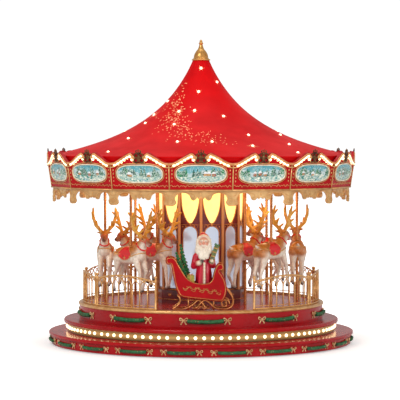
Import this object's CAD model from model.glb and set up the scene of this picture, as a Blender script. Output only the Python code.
import math
import random

import bmesh
import bpy
import numpy as np
from mathutils import Matrix, Vector, noise
from mathutils.bvhtree import BVHTree


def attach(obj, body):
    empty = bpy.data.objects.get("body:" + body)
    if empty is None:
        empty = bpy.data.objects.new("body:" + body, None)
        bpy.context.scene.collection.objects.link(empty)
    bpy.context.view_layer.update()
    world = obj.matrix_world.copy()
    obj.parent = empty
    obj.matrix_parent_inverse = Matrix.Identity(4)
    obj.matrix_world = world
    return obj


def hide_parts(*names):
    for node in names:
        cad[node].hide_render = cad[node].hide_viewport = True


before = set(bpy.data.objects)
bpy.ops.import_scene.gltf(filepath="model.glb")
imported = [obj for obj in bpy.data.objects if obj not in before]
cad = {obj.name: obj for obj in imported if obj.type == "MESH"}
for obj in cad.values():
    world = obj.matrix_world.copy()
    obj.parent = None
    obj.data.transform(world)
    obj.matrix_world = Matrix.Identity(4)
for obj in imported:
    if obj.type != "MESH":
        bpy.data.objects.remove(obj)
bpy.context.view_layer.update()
dice = random.Random(11)
mm = 0.001
print("frame loaded")


# ---- small helpers: everything below is thought of in millimetres, angles run from the front towards +X ----
def tone(red, green, blue):
    """A screen colour, 0 to 255, as linear light."""
    return tuple((c / 255 / 12.92) if c < 11 else ((c / 255 + 0.055) / 1.055) ** 2.4 for c in (red, green, blue))


def around(radius, angle, height=0.0):
    a = math.radians(angle)
    return Vector((radius * math.sin(a), -radius * math.cos(a), height))


def spin(angle):
    return Matrix.Rotation(math.radians(angle), 4, "Z")


def flowing(points, steps=6, closed=False):
    """A smooth path through the points."""
    points = [Vector(p) for p in points]
    count = len(points)
    path = []
    for i in range(count if closed else count - 1):
        if closed:
            a, b, c, d = (points[(i + k) % count] for k in (-1, 0, 1, 2))
        else:
            a, b, c, d = (points[min(max(i + k, 0), count - 1)] for k in (-1, 0, 1, 2))
        for k in range(steps):
            t = k / steps
            path.append(0.5 * (2 * b + (c - a) * t + (2 * a - 5 * b + 4 * c - d) * t * t + (3 * b - a - 3 * c + d) * t ** 3))
    return path if closed else path + [points[-1]]


def paintFaces(verts, slot):
    for face in {f for v in verts for f in v.link_faces}:
        face.material_index = slot
        face.smooth = True


def addBall(bm, centre, radius, slot=0, stretch=(1, 1, 1), detail=2):
    shape = Matrix.Translation(centre) @ Matrix.Diagonal((*stretch, 1))
    made = bmesh.ops.create_icosphere(bm, subdivisions=detail, radius=radius, matrix=shape)
    paintFaces(made["verts"], slot)
    return made["verts"]


def addTube(bm, points, radius, slot=0, sides=8, closed=False, flat=1.0):
    """A tube along the points. radius is one number or one per point; flat squeezes it along its second axis."""
    points = [Vector(p) for p in points]
    count = len(points)
    sizes = radius if isinstance(radius, (list, tuple)) else [radius] * count
    normal = None
    rings = []
    for i, point in enumerate(points):
        ahead = points[(i + 1) % count] if closed or i < count - 1 else point
        behind = points[i - 1] if closed or i > 0 else point
        tangent = (ahead - behind).normalized()
        if normal is None:
            normal = tangent.orthogonal().normalized()
            if abs(tangent.z) < 0.9:
                normal = (Vector((0, 0, 1)) - tangent * tangent.z).normalized()
        normal = (normal - tangent * normal.dot(tangent)).normalized()
        other = tangent.cross(normal)
        ring = []
        for k in range(sides):
            a = 2 * math.pi * k / sides
            ring.append(bm.verts.new(point + (normal * math.cos(a) + other * math.sin(a) * flat) * sizes[i]))
        rings.append(ring)
    faces = []
    for i in range(count if closed else count - 1):
        one, two = rings[i], rings[(i + 1) % count]
        for k in range(sides):
            faces.append(bm.faces.new((one[k], one[(k + 1) % sides], two[(k + 1) % sides], two[k])))
    if not closed:
        faces.append(bm.faces.new(list(reversed(rings[0]))))
        faces.append(bm.faces.new(rings[-1]))
    for face in faces:
        face.material_index = slot
        face.smooth = True
    return [v for ring in rings for v in ring]


def addRod(bm, start, end, first, last, slot=0, sides=12):
    return addTube(bm, [start, end], [first, last], slot, sides)


def addPlate(bm, outline, depth, lay, slot=0, smooth=False):
    """A flat plate. outline is (across, up), depth runs along +Y, and lay places it."""
    front = [bm.verts.new(lay @ Vector((x, 0, z))) for x, z in outline]
    back = [bm.verts.new(lay @ Vector((x, depth, z))) for x, z in outline]
    faces = [bm.faces.new(front), bm.faces.new(list(reversed(back)))]
    count = len(outline)
    for i in range(count):
        faces.append(bm.faces.new((front[i], back[i], back[(i + 1) % count], front[(i + 1) % count])))
    for face in faces:
        face.material_index = slot
        face.smooth = smooth
    return front + back


def addLathe(bm, profile, slot=0, steps=64, centre=(0, 0, 0)):
    centre = Vector(centre)
    rings = []
    for r, z in profile:
        rings.append([bm.verts.new(centre + Vector((r * math.cos(a), r * math.sin(a), z)))
                      for a in (2 * math.pi * k / steps for k in range(steps))])
    for one, two in zip(rings, rings[1:]):
        for k in range(steps):
            face = bm.faces.new((one[k], one[(k + 1) % steps], two[(k + 1) % steps], two[k]))
            face.material_index = slot
            face.smooth = True
    return rings


def copyAround(bm, angles):
    """Repeats everything in bm at each of the angles."""
    source = list(bm.verts) + list(bm.edges) + list(bm.faces)
    for angle in angles[1:]:
        made = bmesh.ops.duplicate(bm, geom=source)
        verts = [g for g in made["geom"] if isinstance(g, bmesh.types.BMVert)]
        bmesh.ops.rotate(bm, verts=verts, cent=(0, 0, 0), matrix=Matrix.Rotation(math.radians(angle - angles[0]), 3, "Z"))


def finishPiece(name, bm, materials, body, stands=(), turn=0.0):
    """Turns bm into an object of the toy that rides on a body."""
    bmesh.ops.recalc_face_normals(bm, faces=list(bm.faces))
    bmesh.ops.scale(bm, vec=(mm, mm, mm), verts=list(bm.verts))
    mesh = bpy.data.meshes.new(name)
    bm.to_mesh(mesh)
    bm.free()
    return showMesh(name, mesh, materials, body, stands, spin(turn))


def showMesh(name, mesh, materials, body, stands=(), lay=None):
    for material in materials if not len(mesh.materials) else []:
        mesh.materials.append(material)
    obj = bpy.data.objects.new(name, mesh)
    bpy.context.scene.collection.objects.link(obj)
    if lay is not None:
        obj.matrix_world = lay
    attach(obj, body)
    if stands:
        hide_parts(*stands)
    return obj


# ---- finishes ----------------------------------------------------------------------------------------------
def finish(name, look):
    """A painted or metal surface with cloudy colour, uneven gloss and a fine grain.

    look holds colour and second (the cloud's other colour), rough, metal, coat, cloud and grain (their scales per
    metre), bump (millimetres), glow and glowColour, and brushed for a grain that runs round the toy.
    """
    material = bpy.data.materials.new(name)
    material.use_nodes = True
    tree = material.node_tree
    make, link = tree.nodes.new, tree.links.new
    shader = tree.nodes["Principled BSDF"]
    where = make("ShaderNodeTexCoord")
    cloud = make("ShaderNodeTexNoise")
    cloud.inputs["Scale"].default_value = look.get("cloud", 60)
    cloud.inputs["Detail"].default_value = 5
    link(where.outputs["Object"], cloud.inputs["Vector"])
    mix = make("ShaderNodeMix")
    mix.data_type = "RGBA"
    spread = make("ShaderNodeMapRange")
    spread.inputs["From Min"].default_value = 0.35
    spread.inputs["From Max"].default_value = 0.65
    link(cloud.outputs["Fac"], spread.inputs["Value"])
    link(spread.outputs["Result"], mix.inputs["Factor"])
    colour = look["colour"]
    second = look.get("second", tuple(c * 0.78 for c in colour))
    mix.inputs["A"].default_value = (*colour, 1)
    mix.inputs["B"].default_value = (*second, 1)
    base = mix.outputs["Result"]
    if look.get("attribute"):
        drawn = make("ShaderNodeAttribute")
        drawn.attribute_name = look["attribute"]
        blend = make("ShaderNodeMix")
        blend.data_type = "RGBA"
        blend.blend_type = "MULTIPLY"
        blend.inputs["Factor"].default_value = 1
        link(drawn.outputs["Color"], blend.inputs["A"])
        link(base, blend.inputs["B"])
        base = blend.outputs["Result"]
    link(base, shader.inputs["Base Color"])
    gloss = make("ShaderNodeMapRange")
    gloss.inputs["To Min"].default_value = look.get("rough", 0.4) * 0.8
    gloss.inputs["To Max"].default_value = min(1.0, look.get("rough", 0.4) * 1.25)
    link(cloud.outputs["Fac"], gloss.inputs["Value"])
    link(gloss.outputs["Result"], shader.inputs["Roughness"])
    shader.inputs["Metallic"].default_value = look.get("metal", 0)
    shader.inputs["Coat Weight"].default_value = look.get("coat", 0)
    shader.inputs["Coat Roughness"].default_value = look.get("coatRough", 0.08)
    shader.inputs["IOR"].default_value = look.get("ior", 1.48)
    shader.inputs["Specular IOR Level"].default_value = look.get("shine", 0.5)
    grain = make("ShaderNodeTexNoise")
    grain.inputs["Scale"].default_value = look.get("grain", 900)
    grain.inputs["Detail"].default_value = 3
    link(where.outputs["Object"], grain.inputs["Vector"])
    bump = make("ShaderNodeBump")
    bump.inputs["Strength"].default_value = look.get("bumpStrength", 0.35)
    bump.inputs["Distance"].default_value = look.get("bump", 0.05) * mm
    link(grain.outputs["Fac"], bump.inputs["Height"])
    link(bump.outputs["Normal"], shader.inputs["Normal"])
    if look.get("glow"):
        shader.inputs["Emission Color"].default_value = (*look["glowColour"], 1)
        shader.inputs["Emission Strength"].default_value = look["glow"]
    return material


def heightGlow(material, middle, reach, colour, strength):
    """Adds a soft band of light round the toy, brightest at the middle height and gone at reach from it."""
    tree = material.node_tree
    make, link = tree.nodes.new, tree.links.new
    where = make("ShaderNodeTexCoord")
    axes = make("ShaderNodeSeparateXYZ")
    link(where.outputs["Object"], axes.inputs["Vector"])
    away = make("ShaderNodeMath")
    away.operation = "SUBTRACT"
    link(axes.outputs["Z"], away.inputs[0])
    away.inputs[1].default_value = middle * mm
    size = make("ShaderNodeMath")
    size.operation = "ABSOLUTE"
    link(away.outputs["Value"], size.inputs[0])
    fade = make("ShaderNodeMapRange")
    fade.inputs["From Min"].default_value = 0
    fade.inputs["From Max"].default_value = reach * mm
    fade.inputs["To Min"].default_value = strength
    fade.inputs["To Max"].default_value = 0
    link(size.outputs["Value"], fade.inputs["Value"])
    shader = tree.nodes["Principled BSDF"]
    shader.inputs["Emission Color"].default_value = (*colour, 1)
    link(fade.outputs["Result"], shader.inputs["Emission Strength"])


def colourByPlace(material, second, low, high, radius=0.0, axis="Z"):
    """Recolours the part of a surface between two heights, and outside a radius from the toy's axis."""
    tree = material.node_tree
    make, link = tree.nodes.new, tree.links.new
    shader = tree.nodes["Principled BSDF"]
    old = shader.inputs["Base Color"].links[0].from_socket
    where = make("ShaderNodeTexCoord")
    axes = make("ShaderNodeSeparateXYZ")
    link(where.outputs["Object"], axes.inputs["Vector"])

    def compare(socket, operation, value):
        node = make("ShaderNodeMath")
        node.operation = operation
        link(socket, node.inputs[0])
        node.inputs[1].default_value = value
        return node.outputs["Value"]

    flat = make("ShaderNodeVectorMath")
    flat.operation = "MULTIPLY"
    flat.inputs[1].default_value = (1, 1, 0)
    link(where.outputs["Object"], flat.inputs[0])
    length = make("ShaderNodeVectorMath")
    length.operation = "LENGTH"
    link(flat.outputs["Vector"], length.inputs[0])
    inside = compare(axes.outputs["Z"], "GREATER_THAN", low * mm)
    for test in (compare(axes.outputs["Z"], "LESS_THAN", high * mm),
                 compare(length.outputs["Value"], "GREATER_THAN", radius * mm)):
        both = make("ShaderNodeMath")
        both.operation = "MULTIPLY"
        link(inside, both.inputs[0])
        link(test, both.inputs[1])
        inside = both.outputs["Value"]
    mix = make("ShaderNodeMix")
    mix.data_type = "RGBA"
    link(inside, mix.inputs["Factor"])
    link(old, mix.inputs["A"])
    mix.inputs["B"].default_value = (*second, 1)
    link(mix.outputs["Result"], shader.inputs["Base Color"])
    return inside


redLacquer = finish("redLacquer", {"colour": tone(176, 4, 16), "second": tone(158, 2, 12), "rough": 0.26, "coat": 0.22, "shine": 0.12,
                                   "cloud": 35, "grain": 700, "bump": 0.03})
bandRed = finish("bandRed", {"colour": tone(176, 4, 16), "second": tone(158, 2, 12), "rough": 0.26, "coat": 0.22, "shine": 0.12,
                             "cloud": 35, "grain": 700, "bump": 0.03})
deckRed = finish("deckRed", {"colour": tone(190, 40, 36), "second": tone(168, 24, 26), "rough": 0.24, "coat": 0.35, "shine": 0.2,
                             "cloud": 45, "grain": 500, "bump": 0.04})
roofRed = finish("roofRed", {"colour": tone(224, 4, 10), "second": tone(204, 2, 8), "rough": 0.5, "coat": 0.0, "shine": 0.1,
                             "coatRough": 0.3, "cloud": 30, "grain": 1500, "bump": 0.10, "bumpStrength": 0.5})
boardRed = finish("boardRed", {"colour": tone(186, 6, 18), "second": tone(168, 4, 14), "rough": 0.36, "coat": 0.08, "shine": 0.1,
                               "cloud": 80, "grain": 800, "bump": 0.05})
gold = finish("gold", {"colour": tone(226, 172, 98), "second": tone(198, 138, 70), "rough": 0.3, "metal": 0.75,
                       "cloud": 140, "grain": 1400, "bump": 0.05})
goldPaint = finish("goldPaint", {"colour": tone(232, 184, 120), "second": tone(206, 148, 84), "rough": 0.34, "metal": 0.5,
                                 "coat": 0.2, "cloud": 160, "grain": 1200, "bump": 0.06})
darkGold = finish("darkGold", {"colour": tone(128, 84, 46), "second": tone(70, 38, 22), "rough": 0.34, "metal": 0.6,
                               "cloud": 260, "grain": 1400, "bump": 0.08})
copperGold = finish("copperGold", {"colour": tone(214, 148, 88), "second": tone(180, 104, 56), "rough": 0.28, "metal": 0.7,
                                   "cloud": 200, "grain": 1500, "bump": 0.05})
valanceTan = finish("valanceTan", {"colour": tone(222, 178, 118), "second": tone(196, 146, 90), "rough": 0.4, "metal": 0.25,
                                   "coat": 0.15, "cloud": 150, "grain": 900, "bump": 0.08})
ceilingGold = finish("ceilingGold", {"colour": tone(190, 120, 60), "second": tone(140, 76, 36), "rough": 0.35, "metal": 0.3,
                                     "cloud": 40, "grain": 700, "bump": 0.05})
columnRed = finish("columnRed", {"colour": tone(118, 24, 24), "second": tone(84, 12, 16), "rough": 0.3, "coat": 0.4,
                                 "cloud": 60, "grain": 800, "bump": 0.05})
mirror = finish("mirror", {"colour": tone(214, 226, 242), "second": tone(196, 212, 234), "rough": 0.16, "metal": 0.55,
                           "cloud": 30, "grain": 300, "bump": 0.02, "glow": 0.22, "glowColour": tone(196, 214, 240)})
lampGlow = finish("lampGlow", {"colour": tone(255, 240, 205), "second": tone(255, 226, 170), "rough": 0.3, "cloud": 400,
                               "glow": 2.6, "glowColour": (1.0, 0.80, 0.46)})
roofLampGlow = finish("roofLampGlow", {"colour": tone(255, 240, 215), "second": tone(255, 226, 180), "rough": 0.3, "cloud": 400,
                                       "glow": 2.2, "glowColour": (1.0, 0.82, 0.60)})
paneGlow = finish("paneGlow", {"colour": tone(255, 224, 120), "second": tone(255, 206, 84), "rough": 0.35, "cloud": 120,
                               "glow": 1.0, "glowColour": (1.0, 0.78, 0.28)})
cream = finish("cream", {"colour": tone(240, 214, 160), "second": tone(216, 176, 112), "rough": 0.45, "coat": 0.15,
                         "cloud": 300, "grain": 900, "bump": 0.08})
bowGold = finish("bowGold", {"colour": tone(236, 200, 146), "second": tone(188, 128, 72), "rough": 0.4, "metal": 0.15,
                             "coat": 0.2, "cloud": 320, "grain": 900, "bump": 0.1})
pine = finish("pine", {"colour": tone(44, 118, 66), "second": tone(16, 66, 34), "rough": 0.6, "cloud": 500, "grain": 1600,
                       "bump": 0.3, "bumpStrength": 0.8})
berry = finish("berry", {"colour": tone(200, 30, 30), "second": tone(150, 12, 16), "rough": 0.25, "coat": 0.5, "cloud": 300})
steel = finish("steel", {"colour": tone(176, 178, 182), "second": tone(140, 142, 148), "rough": 0.32, "metal": 1,
                         "cloud": 90, "grain": 1400, "bump": 0.03})
blueSteel = finish("blueSteel", {"colour": tone(110, 120, 140), "second": tone(84, 90, 108), "rough": 0.3, "metal": 1,
                                 "cloud": 120, "grain": 1500, "bump": 0.03})
brass = finish("brass", {"colour": tone(206, 166, 92), "second": tone(172, 130, 64), "rough": 0.3, "metal": 1,
                         "cloud": 110, "grain": 1500, "bump": 0.04})
panGrey = finish("panGrey", {"colour": tone(70, 66, 66), "second": tone(54, 50, 50), "rough": 0.45, "coat": 0.1,
                             "cloud": 60, "grain": 1100, "bump": 0.05})
blackPlastic = finish("blackPlastic", {"colour": tone(34, 33, 35), "second": tone(24, 23, 25), "rough": 0.5, "cloud": 150,
                                       "grain": 1600, "bump": 0.06})
feetRubber = finish("feetRubber", {"colour": tone(28, 27, 27), "second": tone(20, 19, 19), "rough": 0.8, "cloud": 200,
                                   "grain": 1800, "bump": 0.1})
camWhite = finish("camWhite", {"colour": tone(224, 220, 208), "second": tone(208, 202, 188), "rough": 0.45, "cloud": 100,
                               "grain": 1200, "bump": 0.04})
cellGreen = finish("cellGreen", {"colour": tone(60, 130, 96), "second": tone(40, 96, 70), "rough": 0.3, "coat": 0.4,
                                 "cloud": 120, "grain": 800})
boardGreen = finish("boardGreen", {"colour": tone(30, 92, 56), "second": tone(20, 70, 42), "rough": 0.4, "coat": 0.3,
                                   "cloud": 220, "grain": 900})
sleighRed = finish("sleighRed", {"colour": tone(176, 2, 14), "second": tone(160, 1, 10), "rough": 0.3, "coat": 0.12, "shine": 0.12,
                                 "cloud": 70, "grain": 600, "bump": 0.03})
saddleRed = finish("saddleRed", {"colour": tone(228, 26, 30), "second": tone(196, 12, 20), "rough": 0.4, "coat": 0.25,
                                 "cloud": 300, "grain": 1300, "bump": 0.08})
drawnPaint = finish("drawnPaint", {"colour": (1, 1, 1), "second": (0.84, 0.80, 0.76), "attribute": "drawn", "rough": 0.36,
                                   "coat": 0.3, "cloud": 420, "grain": 1300, "bump": 0.08})
printPaint = finish("printPaint", {"colour": (1, 1, 1), "second": (0.86, 0.88, 0.88), "attribute": "drawn", "rough": 0.25,
                                   "coat": 0.5, "cloud": 500, "grain": 1000, "bump": 0.03})
starGold = finish("starGold", {"colour": tone(255, 222, 160), "second": tone(240, 186, 110), "rough": 0.35, "metal": 0.3,
                               "cloud": 300, "glow": 0.5, "glowColour": (1.0, 0.75, 0.42)})
eyeDark = finish("eyeDark", {"colour": tone(20, 14, 12), "second": tone(12, 8, 8), "rough": 0.12, "coat": 0.6, "cloud": 200})
colourByPlace(bandRed, tone(58, 30, 18), 12.6, 20.8, 130.0)
heightGlow(bandRed, 17.2, 4.6, (1.0, 0.52, 0.16), 0.55)
colourByPlace(columnRed, tone(206, 138, 78), 54.0, 153.0, 42.52)
print("finishes made")

cadLooks = {
    "base_pan": panGrey, "rubber_feet": feetRubber, "pan_screws": steel, "lower_tier": redLacquer, "middle_tier": bandRed,
    "upper_tier": redLacquer, "deck_rim": goldPaint, "band_lamps": lampGlow, "cam_rings": camWhite, "plate_lower": steel,
    "plate_upper": steel, "plate_pillars": brass, "battery_box": blackPlastic, "battery_cells": cellGreen,
    "battery_door": blackPlastic, "switch_body": blackPlastic, "switch_slider": blackPlastic, "lamp_circuit": boardGreen,
    "winding_key": steel, "winding_arbor": steel, "ratchet_wheel": steel, "click_pawl": steel, "second_wheel": brass,
    "governor_fly": brass, "mainspring_barrel": brass, "mainspring": blueSteel, "turntable_hub": steel, "slip_rings": brass,
    "turntable_deck": deckRed, "column_core": columnRed, "column_mirrors": mirror, "column_lights": paneGlow,
    "ceiling_plate": ceilingGold, "roof_mast": steel, "roof_shell": roofRed, "roof_lamps": roofLampGlow, "finial": gold,
    "rounding_boards": boardRed, "board_lamps": lampGlow,
}
for node, material in cadLooks.items():
    mesh = cad[node].data
    mesh.materials.clear()
    mesh.materials.append(material)


# ---- garlands and bows on the tiers ------------------------------------------------------------------------
tiers = [
    {"wall": 149.5, "middle": 4.9, "count": 20, "half": 5.0, "first": 11.0, "rope": 1.55, "bow": 0.78, "sag": 0.5},
    {"wall": 121.5, "middle": 31.6, "count": 10, "half": 8.0, "first": 2.0, "rope": 2.0, "bow": 1.0, "sag": 0.9},
]


def addBow(bm, wall, height, size):
    """A two-looped ribbon bow with a knot and two tails, at the front."""
    y = -wall - 0.45
    for side in (-1, 1):
        loop = [(0.2, 0), (1.6, 1.5), (3.2, 2.3), (3.7, 1.1), (3.1, 0.0), (1.5, -0.2)]
        path = [Vector((side * x * size, y - 0.35 * math.sin(math.pi * i / 5), height + (z + 0.6) * size))
                for i, (x, z) in enumerate(loop)]
        addTube(bm, flowing(path, 4, True), 0.62 * size, 0, 6, True, 0.7)
        tail = [Vector((side * 0.4 * size, y, height)), Vector((side * 1.7 * size, y - 0.15, height - 1.5 * size)),
                Vector((side * 2.5 * size, y, height - 3.3 * size))]
        addTube(bm, flowing(tail, 4), [0.5 * size + 0.035 * size * k for k in range(9)], 0, 6, False, 0.6)
    addBall(bm, Vector((0, y - 0.25, height + 0.5 * size)), 0.95 * size, 0, (1, 0.65, 1.1), 2)


ropes = bmesh.new()
for tier in tiers:
    for i in range(tier["count"]):
        middle = tier["first"] + 360 / tier["count"] * i
        steps = int(tier["half"] * 5)
        points = []
        for k in range(steps + 1):
            t = 2 * k / steps - 1
            points.append(around(tier["wall"] + tier["rope"] * 0.86, middle + t * tier["half"],
                                 tier["middle"] + tier["sag"] * (t * t - 0.5)))
        verts = addTube(ropes, points, tier["rope"], 0, 12)
        for v in verts:
            shift = noise.noise(v.co * 0.9) * 0.42 + noise.noise(v.co * 2.3) * 0.25
            outward = Vector((v.co.x, v.co.y, 0)).normalized()
            v.co += Vector((0, 0, shift * 0.8)) + outward * min(shift, 0.2) * 0.8
        for k in range(3 if tier["count"] == 20 else 5):
            t = dice.uniform(-0.85, 0.85)
            spot = around(tier["wall"] + tier["rope"] * 1.75, middle + t * tier["half"],
                          tier["middle"] + tier["sag"] * (t * t - 0.5) + dice.uniform(-0.7, 0.7))
            addBall(ropes, spot, 0.42, 1 if k % 2 else 2, detail=1)
finishPiece("garlands", ropes, [pine, berry, bowGold], "base", ["tier_garlands"])
bows = bmesh.new()
for tier in tiers:
    step = 360 / tier["count"]
    gap = math.degrees(3.7 / tier["wall"])
    for i in range(tier["count"]):
        for side in (-1, 1):
            one = bmesh.new()
            addBow(one, tier["wall"], tier["middle"] + 0.2, tier["bow"] * 1.02)
            bmesh.ops.rotate(one, verts=list(one.verts), cent=(0, 0, 0),
                             matrix=Matrix.Rotation(math.radians(tier["first"] + step * i + side * (tier["half"] + gap)), 3, "Z"))
            spare = bpy.data.meshes.new("spareBow")
            one.to_mesh(spare)
            one.free()
            bows.from_mesh(spare)
            bpy.data.meshes.remove(spare)
finishPiece("bows", bows, [bowGold], "base", ["tier_bows"])
print("garlands and bows made")


# ---- fence -------------------------------------------------------------------------------------------------
fence = {"radius": 117.5, "foot": 41.3, "first": 24.5, "panel": 39.375, "count": 8, "bars": 8, "spring": 21.5,
         "end": 27.2, "middle": 32.2, "postHalf": 18.72}
panelBm = bmesh.new()
span = fence["postHalf"]
pitch = 2 * span / (fence["bars"] + 1)


def railHeight(angle):
    return fence["end"] + (fence["middle"] - fence["end"]) * (1 - (angle / span) ** 2)


def onFence(angle, height, lift=0.0):
    return around(fence["radius"] + lift, angle, fence["foot"] + height)


for low, size in ((0.9, 0.8), (3.6, 0.42)):
    addTube(panelBm, [onFence(-span + 2 * span * k / 24, low) for k in range(25)], size, 0, 6)
addTube(panelBm, [onFence(-span + 2 * span * k / 32, railHeight(-span + 2 * span * k / 32) - 0.75) for k in range(33)],
        0.75, 0, 8)
for k in range(fence["bars"]):
    angle = -span + (k + 1) * pitch
    addTube(panelBm, [onFence(angle, 0.9), onFence(angle, fence["spring"])], 0.62, 0, 6)
    addBall(panelBm, onFence(angle, fence["spring"]), 0.8, 0, detail=1)
for k in range(-1, fence["bars"] + 2):
    for side in (-1, 1):  # each bar's two ribs cross its neighbours' on their way up
        foot = -span + k * pitch
        rib = []
        for step in range(13):
            t = step / 12
            angle = foot + side * 1.5 * pitch * (t ** 1.5)
            height = fence["spring"] + (railHeight(angle) - 1.0 - fence["spring"]) * math.sin(t * math.pi / 2)
            if abs(angle) <= span:
                rib.append(onFence(angle, height))
        if len(rib) > 2:
            addTube(panelBm, rib, 0.5, 0, 5)
panelAngles = [fence["first"] + 19.6875 + i * fence["panel"] for i in range(fence["count"])]
bmesh.ops.rotate(panelBm, verts=list(panelBm.verts), cent=(0, 0, 0),
                 matrix=Matrix.Rotation(math.radians(panelAngles[0]), 3, "Z"))
copyAround(panelBm, panelAngles)
finishPiece("fencePanels", panelBm, [goldPaint], "base", ["fence_panels"])
postBm = bmesh.new()
for middle in panelAngles:
    for side in (-1, 1):
        post = around(fence["radius"], middle + side * 18.72, 0)
        turned = [(0.0, 0.0), (1.5, 0.0), (1.5, 1.6), (1.1, 2.0), (1.0, 26.0), (1.45, 26.5), (1.45, 28.2), (0.8, 28.9),
                  (0.7, 29.4), (1.35, 30.2), (1.5, 30.9), (1.2, 31.7), (0.5, 32.2), (0.0, 32.3)]
        addLathe(postBm, turned, 0, 14, post + Vector((0, 0, fence["foot"])))
finishPiece("fencePosts", postBm, [goldPaint], "base", ["fence_posts"])
print("fence made")



# ---- canopy: mouldings, pictures, crests, valance -----------------------------------------------------------
canopy = {"sides": 16, "apothem": 146.9, "foot": 155.5, "tilt": 8.4, "valley": 182.0, "peak": 191.2}
sideAngle = 360 / canopy["sides"]
allSides = [i * sideAngle for i in range(canopy["sides"])]
halfSide = canopy["apothem"] * math.tan(math.pi / canopy["sides"])
boardLay = (Matrix.Translation((0, -canopy["apothem"], 0)) @ Matrix.Translation((0, 0, canopy["foot"]))
            @ Matrix.Rotation(math.radians(canopy["tilt"]), 4, "X") @ Matrix.Translation((0, 0, -canopy["foot"])))


def onBoard(across, height, lift=0.0):
    """A point on the front board's face, lifted off it."""
    return boardLay @ Vector((across, -lift, height))


def boardHalf(height):
    return (canopy["apothem"] + (height - canopy["foot"]) * math.sin(math.radians(canopy["tilt"]))) * math.tan(math.pi / 16)


crown = [(24.5, 0.10), (16.5, 0.60), (9.5, 1.0), (6.6, 0.84), (5.6, 0.50)]
rise = canopy["peak"] - canopy["valley"]
moulding = bmesh.new()
for side in (-1, 1):
    edge = [onBoard(side * boardHalf(181.5), canopy["valley"] - 1.6, 0.6)]
    edge += [onBoard(side * x, canopy["valley"] + share * rise - 1.6, 0.6) for x, share in crown]
    path = flowing(edge, 8)
    addTube(moulding, path, 1.15, 0, 8, False, 0.8)
    low = [p + Vector((0, 0, -3.0)) for p in path]
    addTube(moulding, low, 0.5, 1, 6)
    curl = [onBoard(side * (5.6 + 1.7 * math.cos(a) * (1 - a / 12)), 186.6 + 1.7 * math.sin(a) * (1 - a / 12), 0.7)
            for a in (k * 0.5 for k in range(11))]
    addTube(moulding, curl, 0.55, 1, 6)
copyAround(moulding, allSides)
mouldCream = finish("mouldCream", {"colour": tone(226, 158, 92), "second": tone(196, 112, 58), "rough": 0.35, "metal": 0.1,
                                   "coat": 0.3, "cloud": 240, "grain": 900, "bump": 0.05, "glow": 0.03,
                                   "glowColour": (1.0, 0.62, 0.28)})
finishPiece("boardMouldings", moulding, [mouldCream, goldPaint], "turntable")

frames = bmesh.new()
picture = {"half": 23.0, "middle": 171.4, "tall": 8.0}


def pictureEdge(angle, grow=0.0):
    """The rim of a picture: a long oval with slight shoulders."""
    c, s = math.cos(angle), math.sin(angle)
    across = (picture["half"] + grow) * math.copysign(abs(c) ** 0.62, c)
    up = (picture["tall"] + grow) * math.copysign(abs(s) ** 0.80, s)
    return across, picture["middle"] + up


ovals = [2 * math.pi * k / 64 for k in range(64)]
addTube(frames, [onBoard(*pictureEdge(a, 0.2), 0.5) for a in ovals], 0.62, 0, 6, True)
addTube(frames, [onBoard(*pictureEdge(a, 1.7), 0.3) for a in ovals], 0.36, 1, 5, True)
for side in (-1, 1):
    for k in range(5):
        x = side * (picture["half"] + 4.0)
        addBall(frames, onBoard(x * 1.0, 164.5 + 3.4 * k, 0.35), 0.7 - 0.06 * abs(k - 2), 1, (1, 0.5, 1.7), 1)
    addTube(frames, [onBoard(side * boardHalf(z) * 0.994, z, 0.25) for z in (156.4, 168.0, 179.4)], 0.42, 1, 5)
wave = [onBoard(-28.4 + 0.355 * k, 160.1 + 1.0 * math.sin(k * 0.6) * math.cos(k * 0.147), 0.2) for k in range(161)]
addTube(frames, wave, 0.24, 1, 5)
for low, size in ((156.1, 0.7),):
    addTube(frames, [onBoard(-boardHalf(low), low, 0.4), onBoard(boardHalf(low), low, 0.4)], size, 1, 6)
copyAround(frames, allSides)
ivory = finish("ivory", {"colour": tone(246, 236, 212), "second": tone(224, 202, 160), "rough": 0.35, "coat": 0.4, "cloud": 300,
                         "grain": 900, "bump": 0.05})
finishPiece("boardFrames", frames, [ivory, goldPaint], "turntable")


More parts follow.
